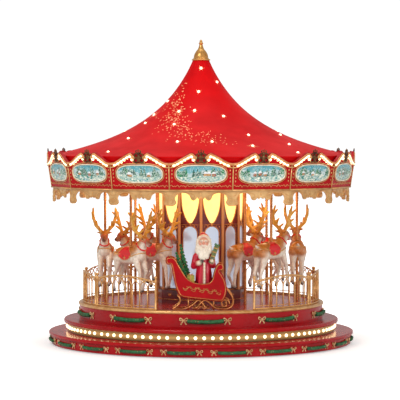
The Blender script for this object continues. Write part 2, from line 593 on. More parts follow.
def winterColour(u, v, seed):
    """The colour of a snowy village picture at u, v, both from -1 to 1."""
    here = Vector((u * 2.4 + seed * 7.1, v * 1.6, seed * 3.3))
    sky = Vector(tone(70, 160, 176)).lerp(Vector(tone(160, 206, 204)), min(1, max(0, 0.5 - 0.5 * v + 0.4 * noise.noise(here * 2))))
    hills = 0.28 + 0.22 * math.sin(u * 4.1 + seed) + 0.14 * noise.noise(here * 2.2)
    ground = -0.22 + 0.16 * math.sin(u * 2.6 + seed * 2.1) + 0.06 * noise.noise(here * 4)
    colour = sky
    if v < hills:
        colour = Vector(tone(120, 168, 172)).lerp(Vector(tone(232, 240, 238)), 0.5 + 0.5 * noise.noise(here * 5))
    for k in range(30):  # firs of several heights
        rnd = random.Random(k * 91 + int(seed * 17))
        cx, top = rnd.uniform(-0.98, 0.98), rnd.uniform(0.15, 0.85)
        foot = -0.35 + rnd.uniform(-0.2, 0.15)
        if foot < v < top:
            t = (top - v) / (top - foot)
            if abs(u - cx) < 0.014 + 0.11 * t * (0.72 + 0.28 * math.cos(t * 19)):
                snow = noise.noise(here * 14) > 0.22
                colour = Vector(tone(196, 222, 204)) if snow else Vector(tone(22, 100 + rnd.randint(-24, 34), 70))
    if v < ground:
        colour = Vector(tone(96, 160, 150)).lerp(Vector(tone(224, 230, 214)), 0.5 + 1.6 * noise.noise(here * 5))
    for k in range(3):  # little houses with a snowy roof and lit windows
        rnd = random.Random(k * 53 + int(seed * 29))
        cx, foot = rnd.uniform(-0.75, 0.75), rnd.uniform(-0.45, -0.22)
        x, z = abs(u - cx), v - foot
        if x < 0.075 and 0 < z < 0.3:
            colour = Vector(tone(150, 66, 44)) if not (0.015 < x < 0.045 and 0.09 < z < 0.2) else Vector(tone(255, 220, 120))
        elif 0.3 <= z < 0.56 and x < 0.10 * (0.56 - z) / 0.26 + 0.012:
            colour = Vector(tone(244, 246, 246))
    if v < ground - 0.25 and abs(u - 0.5 * math.sin(seed + v * 2)) < 0.05:
        colour = Vector(tone(150, 190, 200))
    if noise.noise(here * 34) > 0.44:
        colour = colour.lerp(Vector(tone(255, 255, 255)), 0.7)
    return colour


prints = bmesh.new()
drawn = prints.verts.layers.float_color.new("drawn")
for n, turn in enumerate(allSides):
    across, up = 88, 30
    grid = []
    for j in range(up + 1):
        v = 2 * j / up - 1
        row = []
        for i in range(across + 1):
            u = 2 * i / across - 1
            height = picture["middle"] + v * picture["tall"]
            reach = picture["half"] * (1 - min(1, abs(v)) ** 2.5) ** 0.31
            vert = prints.verts.new(spin(turn) @ onBoard(u * reach, height, 0.22))
            vert[drawn] = (*winterColour(u * reach / picture["half"], v, (n * 5) % 7 + 0.37 * n), 1)
            row.append(vert)
        grid.append(row)
    for one, two in zip(grid, grid[1:]):
        for i in range(across):
            prints.faces.new((one[i], one[i + 1], two[i + 1], two[i]))
bmesh.ops.dissolve_degenerate(prints, dist=0.001, edges=list(prints.edges))
finishPiece("winterPictures", prints, [printPaint], "turntable")
print("boards made")

crests = bmesh.new()


def onCrest(x, z, lift):
    return onBoard(x, z, lift)


addBall(crests, onCrest(0, 186.2, 0.6), 2.4, 0, (0.95, 0.34, 1.45), 2)
addBall(crests, onCrest(0, 190.6, 0.6), 1.5, 0, (1, 0.4, 1.2), 2)
addBall(crests, onCrest(0, 193.4, 0.6), 0.8, 0, (0.8, 0.6, 1.6), 2)
for side in (-1, 1):
    for bend in ([(0.6, 183.2), (3.0, 182.0), (4.8, 183.6), (4.4, 185.8), (2.9, 185.6)],
                 [(0.8, 186.4), (3.2, 187.0), (4.3, 189.2), (3.2, 190.6), (2.2, 189.6)],
                 [(0.5, 190.2), (1.9, 191.2), (2.4, 192.9), (1.4, 193.4)]):
        path = flowing([onCrest(side * x, z, 0.65) for x, z in bend], 5)
        addTube(crests, path, [0.85 - 0.45 * k / (len(path) - 1) for k in range(len(path))], 0, 7)
copyAround(crests, allSides)
finishPiece("crests", crests, [darkGold], "turntable", ["crest_ornaments"])

drop = bmesh.new()
valance = {"apothem": 146.0, "top": 155.4, "low": 141.4}
halfDrop = valance["apothem"] * math.tan(math.pi / 16)
scallop = [(halfDrop, 141.4), (25.6, 141.7), (23.6, 143.4), (23.5, 145.2), (24.4, 147.0), (24.0, 149.6), (21.6, 152.4),
           (17.6, 153.5), (13.6, 153.0), (10.6, 151.0), (9.6, 148.6), (8.3, 146.8), (6.2, 146.6), (4.4, 148.2), (3.6, 149.6),
           (2.4, 147.8), (1.1, 148.4), (0.0, 150.2)]
halfEdge = [(p.x, p.y) for p in flowing([(x, z, 0) for x, z in scallop], 4)]
whole = [(halfDrop, valance["top"])] + halfEdge + [(-x, z) for x, z in reversed(halfEdge[:-1])] + [(-halfDrop, valance["top"])]
lay = Matrix.Translation((0, -valance["apothem"], 0))
addPlate(drop, whole, 1.3, lay, 0)
rim = halfEdge + [(-x, z) for x, z in reversed(halfEdge[:-1])]
addTube(drop, [lay @ Vector((x, -0.1, z + 0.4)) for x, z in rim], 0.42, 1, 5)
for side in (-1, 1):  # raised scrolls in the big drops and over the small ones
    for bend in ([(28.4, 144.0), (26.6, 144.2), (26.0, 146.2), (27.4, 147.6), (28.6, 146.4)],
                 [(28.6, 150.4), (25.8, 151.4), (24.6, 153.4), (20.2, 154.3)],
                 [(8.4, 149.0), (6.6, 149.0), (6.0, 150.8), (7.4, 152.2), (9.8, 153.0), (13.0, 154.1)]):
        addTube(drop, flowing([lay @ Vector((side * x, -0.15, z)) for x, z in bend], 5), 0.34, 1, 5)
addBall(drop, lay @ Vector((0, -0.1, 152.6)), 1.0, 1, (1.2, 0.4, 1), 2)
copyAround(drop, allSides)
finishPiece("valanceScallops", drop, [valanceTan, goldPaint], "turntable", ["valance"])
print("canopy trimmed")


# ---- roof prints -------------------------------------------------------------------------------------------
def solidOf(node):
    depsgraph = bpy.context.evaluated_depsgraph_get()
    return BVHTree.FromObject(cad[node], depsgraph)


roofTree = solidOf("roof_shell")


def onRoof(radius, angle, lift=0.12):
    """A point on the roof, with the slope there: (place, outward, along the rim)."""
    start = around(radius, angle, 400) * mm
    spot, outward, _, _ = roofTree.ray_cast(start, Vector((0, 0, -1)))
    if outward.z < 0:
        outward = -outward
    along = around(1, angle + 90)
    return spot / mm + outward * lift, outward, (along - outward * along.dot(outward)).normalized()


def addStar(bm, radius, angle, points, long, short, turn=0.0, slot=0):
    spot, outward, along = onRoof(radius, angle)
    up = outward.cross(along)
    rim = []
    for k in range(points * 2):
        reach = (long if k % 2 == 0 else short) * (1.0 if k % 4 == 0 or k % 2 else 0.72)
        a = math.pi * k / points + turn
        rim.append(bm.verts.new(spot + (along * math.cos(a) + up * math.sin(a)) * reach))
    middle = bm.verts.new(spot + outward * 0.1)
    for k in range(points * 2):
        face = bm.faces.new((middle, rim[k], rim[(k + 1) % (points * 2)]))
        face.material_index = slot


hem = bmesh.new()
addLathe(hem, [(148.0, 187.3), (147.6, 185.5), (147.3, 183.5), (147.0, 180.8), (146.4, 180.8), (147.4, 187.0)], 0, 192)
finishPiece("roofHem", hem, [roofRed], "turntable")
stars = bmesh.new()
roofLamps = [(12, 0), (20, 52), (27, -5), (35, -70), (46, -28), (50, -68), (45, -8), (62, -62), (64, -24), (52, 25), (84, 68),
             (84, 33), (92, -50), (100, -13), (100, 6), (112, 26), (108, 52), (135, 43), (132, -42), (76, 88)]
for half in (0, 180):
    for n, (radius, angle) in enumerate(roofLamps):
        big = n in (4, 5, 15)
        addStar(stars, radius, angle + half, 8 if big else 6, 7.5 if big else 3.6, 0.7 if big else 0.6, 0.2 * n)
    for k in range(260):  # a trail of small sparkles sweeping down the roof
        t = dice.random()
        radius = 26 + 78 * t + dice.gauss(0, 5)
        angle = half - 52 + 60 * t + dice.gauss(0, 9)
        addStar(stars, radius, angle, 4, dice.uniform(0.5, 1.2), 0.26, dice.uniform(0, 3))
finishPiece("roofStars", stars, [starGold], "turntable")
print("roof printed")


# ---- poles -------------------------------------------------------------------------------------------------
outerRow, innerRow = 96.0, 61.0
herd = {
    "outer_left_front": (outerRow, -45.0, 3.0), "outer_left": (outerRow, -90.0, 4.0), "outer_left_rear": (outerRow, -135.0, 0.5),
    "outer_rear": (outerRow, 180.0, 2.0), "outer_right_rear": (outerRow, 135.0, 4.5), "outer_right": (outerRow, 90.0, 6.0),
    "outer_right_front": (outerRow, 45.0, 7.5), "inner_left_front": (innerRow, -45.0, 4.5),
    "inner_left_rear": (innerRow, -135.0, 6.0), "inner_right_rear": (innerRow, 135.0, 2.5), "inner_right_front": (innerRow, 45.0, 5.0),
}
hoofLow = 52.0
poleLow, poleTop = 22.3, 164.0


def poleMesh():
    bm = bmesh.new()
    steps, sides = 220, 12
    rings = []
    for j in range(steps + 1):
        z = poleLow + 2.5 + (poleTop - poleLow - 2.5) * j / steps
        ring = []
        for k in range(sides):
            a = 2 * math.pi * k / sides
            r = 1.38 + 0.12 * math.cos(2 * (a - z * 1.15))
            ring.append(bm.verts.new(Vector((r * math.cos(a), r * math.sin(a), z - hoofLow))))
        rings.append(ring)
    for one, two in zip(rings, rings[1:]):
        for k in range(sides):
            bm.faces.new((one[k], one[(k + 1) % sides], two[(k + 1) % sides], two[k])).smooth = True
    bm.faces.new(rings[-1])
    addTube(bm, [(0, 0, poleLow - hoofLow), (0, 0, poleLow + 2.5 - hoofLow)], 2.9, 0, 20)
    for z in (24.2, 45.6):
        addTube(bm, [(0, 0, z), (0, 0, z + 1.2)], 2.0, 0, 16)
    bmesh.ops.scale(bm, vec=(mm, mm, mm), verts=list(bm.verts))
    mesh = bpy.data.meshes.new("pole")
    bm.to_mesh(mesh)
    bm.free()
    mesh.materials.append(copperGold)
    return mesh


# ---- moulded figures ---------------------------------------------------------------------------------------
def moulded(name, lumps, voxel, smooth, blend=0.35, carve=None):
    """One smooth casting from a list of lumps (start, end, radius there, radius here, colour), painted lump by lump."""
    bm = bmesh.new()
    for start, end, first, last, _ in lumps:
        start, end = Vector(start), Vector(end)
        addBall(bm, start, first, detail=3)
        if (end - start).length > 0.01:
            addBall(bm, end, last, detail=3)
            addRod(bm, start, end, first, last, 0, 20)
    rough = bpy.data.meshes.new(name)
    bm.to_mesh(rough)
    bm.free()
    obj = bpy.data.objects.new(name, rough)
    bpy.context.scene.collection.objects.link(obj)
    shrink = obj.modifiers.new("join", "REMESH")
    shrink.mode = "VOXEL"
    shrink.voxel_size = voxel
    soften = obj.modifiers.new("soften", "SMOOTH")
    soften.factor = 0.5
    soften.iterations = smooth
    mesh = bpy.data.meshes.new_from_object(obj.evaluated_get(bpy.context.evaluated_depsgraph_get()))
    bpy.data.objects.remove(obj)
    points = np.empty(len(mesh.vertices) * 3)
    mesh.vertices.foreach_get("co", points)
    points = points.reshape(-1, 3)
    nearness, colours = [], []
    for start, end, first, last, colour in lumps:
        a, b = np.array(start, float), np.array(end, float)
        along = b - a
        t = np.clip((points - a) @ along / max(along @ along, 1e-9), 0, 1)
        away = np.linalg.norm(points - (a + t[:, None] * along), axis=1) - (first + t * (last - first))
        nearness.append(-away / blend)
        colours.append(colour)
    nearness = np.array(nearness)
    weight = np.exp(nearness - nearness.max(0))
    weight /= weight.sum(0)
    paint = weight.T @ np.array(colours)
    if carve:
        points, paint = carve(points, paint, mesh)
        mesh.vertices.foreach_set("co", points.reshape(-1))
    attribute = mesh.color_attributes.new("drawn", "FLOAT_COLOR", "POINT")
    attribute.data.foreach_set("color", np.hstack([paint, np.ones((len(paint), 1))]).reshape(-1))
    mesh.transform(Matrix.Scale(mm, 4))
    for polygon in mesh.polygons:
        polygon.use_smooth = True
    mesh.materials.append(drawnPaint)
    mesh.name = name
    return mesh


def ripple(points, scale, seed=0.0):
    return np.array([noise.noise(Vector(p) * scale + Vector((seed, 0, 0))) for p in points])


tan, white, fawn = tone(196, 118, 40), tone(236, 222, 206), tone(150, 72, 34)
antlerGold, hoofBrown, noseDark = tone(236, 172, 62), tone(40, 26, 20), tone(60, 30, 22)
deer = [
    ((-11.5, 0, 37.2), (9.5, 0, 38.4), 6.2, 6.2, tan), ((-10.5, 0, 33.6), (9.0, 0, 34.0), 6.4, 6.6, white),
    ((-13.0, 0, 36.2), (-13.0, 0, 36.2), 7.2, 7.2, tan), ((12.0, 0, 35.8), (12.0, 0, 35.8), 6.4, 6.4, white),
    ((9.5, 0, 40.5), (16.6, 0, 51.0), 5.2, 3.3, tan), ((12.6, 0, 37.5), (18.9, 0, 48.6), 5.2, 3.2, white),
    ((17.4, 0, 52.0), (20.6, 0, 51.2), 4.1, 3.6, tan), ((20.6, 0, 50.4), (26.6, 0, 47.2), 3.0, 2.1, fawn),
    ((19.2, 0, 48.9), (25.2, 0, 46.2), 2.6, 1.7, white), ((28.3, 0, 47.6), (28.3, 0, 47.6), 1.15, 1.15, noseDark),
    ((-18.6, 0, 38.6), (-21.6, 0, 41.2), 1.8, 0.9, white),
]
for side in (-1, 1):
    y = 4.4 * side
    fore, hind = 15.0 - 3 * side, -16.0 + 3 * side
    deer += [
        ((15.6, 3.0 * side, 53.6), (12.9, 7.4 * side, 54.4), 1.5, 0.6, tan),
        ((11.6, y, 32.0), (16.6, y, 21.4), 3.6, 2.0, white), ((16.9, y, 20.8), (fore + 0.6, y, 5.0), 1.9, 1.35, white),
        ((fore + 0.5, y, 4.6), (fore + 0.3, y, 3.6), 1.5, 1.6, white), ((fore, y, 2.4), (fore - 0.2, y, 1.6), 1.75, 1.6, hoofBrown),
        ((-13.2, y, 32.6), (-15.0, y, 23.4), 5.0, 2.7, white), ((-14.6, y, 35.0), (-15.0, y, 33.0), 4.6, 4.4, tan),
        ((-15.2, y, 22.6), (-19.0, y, 13.6), 2.3, 1.6, white), ((-19.0, y, 13.4), (hind - 0.4, y, 4.8), 1.6, 1.3, white),
        ((hind - 0.2, y, 4.6), (hind - 0.2, y, 3.6), 1.5, 1.6, white), ((hind, y, 2.4), (hind - 0.1, y, 1.6), 1.75, 1.6, hoofBrown),
        ((16.8, 2.6 * side, 55.0), (13.6, 8.6 * side, 61.2), 1.83, 1.71, antlerGold),
        ((13.6, 8.6 * side, 61.2), (14.2, 11.2 * side, 70.0), 1.71, 1.65, antlerGold),
        ((14.2, 11.2 * side, 70.0), (17.5, 11.0 * side, 78.6), 1.65, 0.98, antlerGold),
        ((13.6, 8.8 * side, 61.6), (21.3, 9.6 * side, 66.0), 1.59, 0.98, antlerGold),
        ((14.2, 11.2 * side, 69.4), (21.3, 11.8 * side, 74.8), 1.52, 0.98, antlerGold),
        ((15.6, 5.0 * side, 57.2), (22.4, 5.2 * side, 60.8), 1.46, 0.98, antlerGold),
        ((14.3, 11.3 * side, 68.0), (13.2, 12.0 * side, 74.6), 1.34, 0.98, antlerGold),
        ((14.6, 7.0 * side, 59.6), (18.5, 7.6 * side, 65.6), 1.22, 0.85, antlerGold),
    ]


def coat(points, paint, mesh):
    """Short brushed hair along the body, and a mottled edge between the two coat colours."""
    hair = ripple(points * np.array([0.25, 1.0, 0.6]), 1.6)
    body = points[:, 2] < 56
    normals = np.empty(len(points) * 3)
    mesh.vertices.foreach_get("normal", normals)
    points = points + normals.reshape(-1, 3) * (0.12 * hair * body)[:, None]
    return points, paint * (1 + 0.16 * hair)[:, None]


deerMesh = moulded("reindeer", deer, 0.5, 5, 0.6, coat)
deerTree = BVHTree.FromPolygons([v.co / mm for v in deerMesh.vertices], [p.vertices for p in deerMesh.polygons])


def onDeer(point, lift=0.0):
    spot, outward, _, _ = deerTree.find_nearest(Vector(point))
    return spot + outward * lift


tack = bmesh.new()
cloth = []
for j in range(49):
    angle = math.radians(-122 + 244 * j / 48)
    fold = abs(math.degrees(angle))
    width = 4.2 + 4.6 * min(1, max(0, (fold - 20) / 46)) ** 1.2
    if fold > 78:
        width *= max(0.0, 1 - ((fold - 78) / 45) ** 2) ** 0.5
    row = []
    for i in range(11):
        x = -2.0 + width * (2 * i / 10 - 1)
        aim = Vector((x, 12 * math.sin(angle), 35.6 + 12 * math.cos(angle)))
        spot, outward, _, _ = deerTree.ray_cast(aim, (Vector((x, 0, 35.6)) - aim).normalized())
        row.append(tack.verts.new((spot + outward * 0.55) if spot else aim))
    cloth.append(row)
for one, two in zip(cloth, cloth[1:]):
    for k in range(10):
        tack.faces.new((one[k], one[k + 1], two[k + 1], two[k])).smooth = True
edge = [row[0].co.copy() for row in cloth] + [row[-1].co.copy() for row in reversed(cloth)]
addTube(tack, edge, 0.32, 1, 5, True)
for k in range(0, len(edge), 2):
    addBall(tack, edge[k], 0.5, 2, detail=1)
for side in (-1, 1):
    centre = onDeer((-2.0, 9 * side, 33.6), 0.75)
    for k in range(8):
        a = math.pi * k / 4
        tip = onDeer(centre + Vector((math.cos(a), 0, math.sin(a))) * (2.0 if k % 2 == 0 else 1.2), 0.7)
        addRod(tack, centre, tip, 0.34, 0.12, 1, 5)
    addBall(tack, centre, 0.6, 2, detail=1)
for line in ([(4.4, 8, 35.5), (8, 8, 36.0), (12, 7, 37.2), (16, 5, 38.2), (19, 0, 38.6), (16, -5, 38.2), (12, -7, 37.2), (8, -8, 36.0),
              (4.4, -8, 35.5)], [(-8, 8, 37.0), (-13, 8, 37.4), (-18, 5, 37.8), (-21, 0, 38.0), (-18, -5, 37.8), (-13, -8, 37.4),
                                 (-8, -8, 37.0)]):
    addTube(tack, [onDeer(p, 0.25) for p in flowing(line, 5)], 0.5, 1, 6)
collar = [onDeer((14.6 + 4.4 * math.cos(a) * 0.8, 5.2 * math.sin(a), 45.0 - 3.4 * math.cos(a)), 0.25)
          for a in (2 * math.pi * k / 28 for k in range(28))]
addTube(tack, collar, 0.75, 0, 7, True)
for k in range(0, 28, 4):
    addBall(tack, onDeer(collar[k], 0.9), 0.62, 2, detail=1)
bridle = [onDeer((23.0, 3.2 * math.sin(a), 48.8 + 3.2 * math.cos(a)), 0.15) for a in (2 * math.pi * k / 18 for k in range(18))]
addTube(tack, bridle, 0.32, 0, 5, True)
for side in (-1, 1):
    addBall(tack, onDeer((19.9, 3.6 * side, 52.4), 0.0), 0.62, 3, detail=2)
    addTube(tack, [onDeer(p, 0.15) for p in flowing([(22.9, 3 * side, 49.0), (19.6, 3.4 * side, 50.2), (16.4, 3.6 * side, 51.6)], 4)],
            0.28, 0, 5)
bmesh.ops.scale(tack, vec=(mm, mm, mm), verts=list(tack.verts))
tackMesh = bpy.data.meshes.new("tack")
tack.to_mesh(tackMesh)
tack.free()
for material in (saddleRed, goldPaint, gold, eyeDark):
    tackMesh.materials.append(material)
poleShape = poleMesh()
for name, (row, angle, rest) in herd.items():
    body = "reindeer_" + name
    lay = Matrix.Translation(around(row, angle, hoofLow + rest) * mm) @ spin(angle)
    showMesh(body + "_figure", deerMesh, [], body, [body], lay)
    showMesh(body + "_tack", tackMesh, [], body, (), lay)
    showMesh(body + "_pole", poleShape, [], body, (), lay)
print("reindeer made")


# ---- sleigh ------------------------------------------------------------------------------------------------
sleigh = {"middle": -96.0, "half": 12.0, "wall": 1.5, "floor": 57.0}
upper = [(-30.4, 90.4), (-27.6, 90.7), (-24.6, 88.6), (-20.2, 81.0), (-14.2, 71.6), (-8.5, 67.8), (-3.0, 66.2), (4.0, 65.8), (8.6, 67.0),
         (11.4, 70.6), (12.8, 76.0), (14.6, 81.4), (17.4, 84.6)]
scrollFront = [(20.0, 84.0), (20.9, 81.6), (19.4, 79.6), (17.4, 79.4)]
nose = [(16.6, 77.8), (18.6, 74.4), (21.6, 69.2), (23.2, 62.4), (22.4, 55.8), (20.4, 51.6), (17.4, 50.6)]
keel = [(0.0, 52.4), (-16.4, 54.4), (-20.8, 58.2), (-23.6, 66.0), (-25.6, 76.0), (-27.0, 83.4), (-28.6, 85.8), (-31.2, 85.6), (-32.4, 87.6),
        (-32.0, 89.8)]
rimPath = flowing([(x, 0, z) for x, z in upper + scrollFront + nose + keel], 3, True)
outline = [(p.x, p.z) for p in rimPath]
tub = bmesh.new()
for side in (-1, 1):
    start = sleigh["middle"] + (side * sleigh["half"] - (sleigh["wall"] if side > 0 else 0))
    addPlate(tub, outline, sleigh["wall"], Matrix.Translation((0, start, 0)), 0)
shellPath = flowing([(x, 0, z) for x, z in scrollFront[-1:] + nose + keel + upper[:1]], 3)
for inner, outer in ((0.0, 1.3),):
    rows = []
    for i, p in enumerate(shellPath):
        ahead = shellPath[min(i + 1, len(shellPath) - 1)] - shellPath[max(i - 1, 0)]
        inward = Vector((-ahead.z, 0, ahead.x)).normalized()
        rows.append([tub.verts.new(Vector((p.x, sleigh["middle"] + y, p.z)) - inward * depth)
                     for y, depth in ((-11.2, -0.25), (11.2, -0.25), (11.2, -outer), (-11.2, -outer))])
    for one, two in zip(rows, rows[1:]):
        for k in range(4):
            tub.faces.new((one[k], one[(k + 1) % 4], two[(k + 1) % 4], two[k])).smooth = True
addPlate(tub, [(-17.0, 56.0), (19.0, 56.0), (19.0, 57.0), (-17.0, 57.0)], 22.0, Matrix.Translation((0, sleigh["middle"] - 11, 0)), 0)
for side in (-1, 1):
    y = sleigh["middle"] + side * (sleigh["half"] - 0.3)
    addTube(tub, [Vector((p.x, y, p.z)) for p in rimPath], 0.52, 1, 6, True)
    face = sleigh["middle"] + side * (sleigh["half"] + 0.12)

    def scroll(points, size=0.42):
        path = flowing([(x, face, z) for x, z in points], 5)
        addTube(tub, path, [size * (1 - 0.5 * abs(2 * k / (len(path) - 1) - 1)) for k in range(len(path))], 1, 6, False, 0.7)

    scroll([(-17.4, 62.8), (-14.6, 61.0), (-10.8, 62.9), (-7.0, 60.9), (-3.2, 62.0), (0.8, 59.8), (4.8, 60.6), (8.6, 58.6),
            (12.6, 59.4), (17.2, 57.4)], 0.5)
    for n in range(9):
        x, z = -15.2 + 4.0 * n, 62.0 - 0.52 * n
        flip = 1 if n % 2 else -1
        scroll([(x - 1.8, z), (x - 0.4, z + 1.9 * flip), (x + 1.5, z + 1.7 * flip), (x + 1.7, z + 0.3 * flip), (x + 0.6, z + 0.5 * flip)])
        addBall(tub, (x + 2.0, face, z - 1.5 * flip), 0.6, 1, (1.2, 0.5, 0.8), 1)
finishPiece("sleighTub", tub, [sleighRed, copperGold], "turntable", ["sleigh_body"])
runners = bmesh.new()
for side in (-1, 1):
    y = sleigh["middle"] + side * (sleigh["half"] - 1.6)

    def wire(points, size=0.72):
        path = flowing([(x, y, z) for x, z in points], 6)
        addTube(runners, path, size, 0, 8)

    wire([(-22.4, 55.0), (-20.0, 52.0), (-20.6, 47.4), (-24.8, 43.6), (-27.0, 42.4)])
    wire([(-26.6, 42.0), (-16.0, 42.3), (-8.0, 46.0), (-3.4, 50.2), (0.6, 48.4), (4.6, 43.2), (8.2, 43.0)], 0.66)
    wire([(-8.2, 43.0), (-4.0, 43.4), (0.0, 48.0), (4.0, 50.4), (8.0, 48.0), (13.2, 43.4), (19.0, 42.2), (24.6, 42.2), (29.0, 44.6),
          (30.6, 49.4), (29.4, 54.2), (26.4, 58.6), (24.0, 61.4)], 0.72)
    spiral = [(22.6 + r * math.cos(a), 47.0 + r * math.sin(a)) for a, r in ((k * 0.62, 4.6 - 0.28 * k) for k in range(14))]
    wire(spiral, 0.6)
    wire([(-5.6, 44.6), (-3.0, 42.2), (0.0, 44.4), (3.0, 42.2), (5.6, 44.6)], 0.5)
    for x in (-12.0, 12.0):
        addTube(runners, [Vector((x, y, 41.6)), Vector((x, y, 52.8))], 0.7, 0, 8)
finishPiece("sleighRunners", runners, [copperGold], "turntable", ["sleigh_runners"])

load = bmesh.new()


def addParcel(low, high, wrap, ribbon):
    low, high = Vector(low), Vector(high)
    made = bmesh.ops.create_cube(load, size=1, matrix=Matrix.Translation((low + high) / 2) @ Matrix.Diagonal((*(high - low), 1)))
    for f in {f for v in made["verts"] for f in v.link_faces}:
        f.material_index = wrap
    middle = (low + high) / 2
    for a, b in (((low.x - 0.1, middle.y - 0.6, low.z), (high.x + 0.1, middle.y + 0.6, high.z + 0.15)),
                 ((middle.x - 0.6, low.y - 0.1, low.z), (middle.x + 0.6, high.y + 0.1, high.z + 0.15))):
        a, b = Vector(a), Vector(b)
        band = bmesh.ops.create_cube(load, size=1, matrix=Matrix.Translation((a + b) / 2) @ Matrix.Diagonal((*(b - a), 1)))
        for f in {f for v in band["verts"] for f in v.link_faces}:
            f.material_index = ribbon
    for side in (-1, 1):
        addTube(load, flowing([middle + Vector((0, 0, high.z - middle.z)), Vector((middle.x + side * 1.6, middle.y, high.z + 1.3)),
                               Vector((middle.x + side * 1.9, middle.y, high.z + 0.2))], 4), 0.4, ribbon, 6)


y = sleigh["middle"]
addParcel((-16.0, y - 9.0, 57.0), (-7.0, y + 9.0, 66.2), 1, 3)
addParcel((-13.4, y - 9.0, 66.6), (-6.3, y - 4.3, 74.0), 2, 3)
for foot, tip, wide in (((-12.6, y + 5.0, 66.8), (-19.5, y + 5.2, 101.4), 4.6), ((-14.0, y - 1.0, 66.8), (-23.4, y - 2.0, 94.4), 4.2)):
    foot, tip = Vector(foot), Vector(tip)
    axis = (tip - foot).normalized()
    across = axis.orthogonal().normalized()
    addRod(load, foot, tip, 0.8, 0.3, 4, 6)
    addRod(load, foot + axis * 3, tip, wide * 0.78, 0.5, 0, 14)
    length = (tip - foot).length
    for layer in range(11):
        t = layer / 11
        reach = wide * (1 - 0.92 * t) + 0.5
        for k in range(11):
            a = 2 * math.pi * (k + 0.5 * (layer % 2)) / 11 + dice.uniform(-0.12, 0.12)
            out = Matrix.Rotation(a, 3, axis) @ across
            root = foot + axis * (length * (t + 0.10))
            end = root + out * reach * dice.uniform(0.88, 1.08) - axis * (reach * 0.42)
            addTube(load, [root, (root + end) / 2 + axis * 0.25, end], [1.1, 1.2, 0.3], 0, 6)
    for k in range(26):
        t = k / 26
        reach = wide * (1 - 0.92 * t) + 0.25
        out = Matrix.Rotation(t * 22, 3, axis) @ across
        addBall(load, foot + axis * (length * (t * 0.96 + 0.03)) + out * reach, 0.5, 5 if k % 2 else 3, detail=1)
wrapBlue = finish("wrapBlue", {"colour": tone(52, 150, 196), "second": tone(30, 96, 160), "rough": 0.25, "coat": 0.4, "cloud": 320})
wrapOlive = finish("wrapOlive", {"colour": tone(176, 164, 70), "second": tone(120, 120, 44), "rough": 0.3, "metal": 0.3,
                                 "cloud": 320})
bark = finish("bark", {"colour": tone(96, 62, 38), "second": tone(66, 42, 26), "rough": 0.7, "cloud": 300})
treeGreen = finish("treeGreen", {"colour": tone(30, 128, 66), "second": tone(10, 74, 36), "rough": 0.5, "coat": 0.1, "cloud": 700,
                                 "grain": 1800, "bump": 0.15})
finishPiece("sleighLoad", load, [treeGreen, wrapBlue, wrapOlive, gold, bark, berry], "turntable", ["sleigh_load"])
print("sleigh made")


# ---- driver: a calm, generic bearded figure ----------------------------------------------------------------
robeRed, robeDark, glove = tone(206, 22, 52), tone(150, 14, 40), tone(52, 44, 38)
fur, beardWhite, skin, cheek = tone(244, 228, 200), tone(250, 240, 222), tone(238, 188, 156), tone(232, 150, 126)
driver = [
    ((0, 0.6, 2), (0, 0.4, 18), 8.4, 7.6, robeRed), ((0, 0.4, 18), (0, 0.6, 32), 7.6, 6.0, robeRed),
    ((-5.6, 0.8, 34.4), (5.6, 0.8, 34.4), 4.4, 4.4, robeRed), ((0, 0.5, 36), (0, 0.3, 42), 5.0, 4.6, robeRed),
    ((-7.0, 0.6, 34.0), (-9.4, -0.9, 25.4), 3.6, 3.1, robeRed), ((-9.4, -0.9, 25.4), (-5.6, -6.0, 28.4), 3.1, 2.5, robeRed),
    ((-4.9, -6.6, 28.5), (-3.9, -7.0, 29.0), 2.5, 2.4, fur), ((-3.0, -7.3, 29.6), (-1.6, -7.4, 30.6), 1.9, 1.7, glove),
    ((7.0, 0.6, 34.0), (8.9, -0.9, 26.0), 3.6, 2.8, robeRed), ((8.9, -0.9, 26.0), (8.2, -4.8, 29.4), 2.8, 2.5, robeRed),
    ((8.0, -5.2, 29.9), (7.7, -5.7, 30.8), 2.5, 2.4, fur), ((7.6, -6.0, 32.2), (7.9, -6.0, 34.0), 1.8, 1.6, glove),
    ((0, 0.6, 48.4), (0, 0.9, 50.0), 6.5, 6.2, robeRed), ((0, 1.2, 51.6), (-0.6, 1.8, 55.0), 5.2, 3.0, robeRed),
    ((0, -1.6, 48.0), (0, -1.6, 48.0), 5.5, 5.5, skin), ((0, -2.4, 46.0), (0, -2.4, 46.0), 4.6, 4.6, skin),
    ((-2.5, -5.5, 46.9), (-2.5, -5.5, 46.9), 1.6, 1.6, cheek), ((2.5, -5.5, 46.9), (2.5, -5.5, 46.9), 1.6, 1.6, cheek),
    ((0, -6.6, 48.8), (0, -7.6, 46.9), 0.65, 1.0, cheek), ((-0.7, -7.0, 46.7), (0.7, -7.0, 46.7), 0.75, 0.75, cheek),
    ((0, -6.5, 43.9), (0, -6.5, 43.9), 0.95, 0.95, tone(190, 92, 84)),
]
for side in (-1, 1):
    driver += [
        ((side * 0.9, -6.9, 45.2), (side * 3.6, -5.9, 44.2), 1.15, 0.6, beardWhite),
        ((side * 1.0, -6.9, 50.0), (side * 3.4, -5.8, 50.0), 0.55, 0.45, beardWhite),
        ((side * 5.2, -3.0, 46.0), (side * 5.2, -4.4, 40.0), 2.2, 3.1, beardWhite),
        ((side * 3.1, -5.0, 40.4), (side * 2.6, -6.6, 34.4), 3.4, 2.4, beardWhite),
    ]
driver += [((0, -5.2, 40.6), (0, -6.6, 33.4), 3.4, 2.0, beardWhite)]
for k in range(17):  # fur round the hood's opening
    a = math.radians(-126 + 252 * k / 16)
    spot = (6.1 * math.sin(a), -2.6 - 0.6 * math.cos(a), 47.6 + 6.5 * math.cos(a))
    driver.append((spot, spot, 1.45, 1.45, fur))
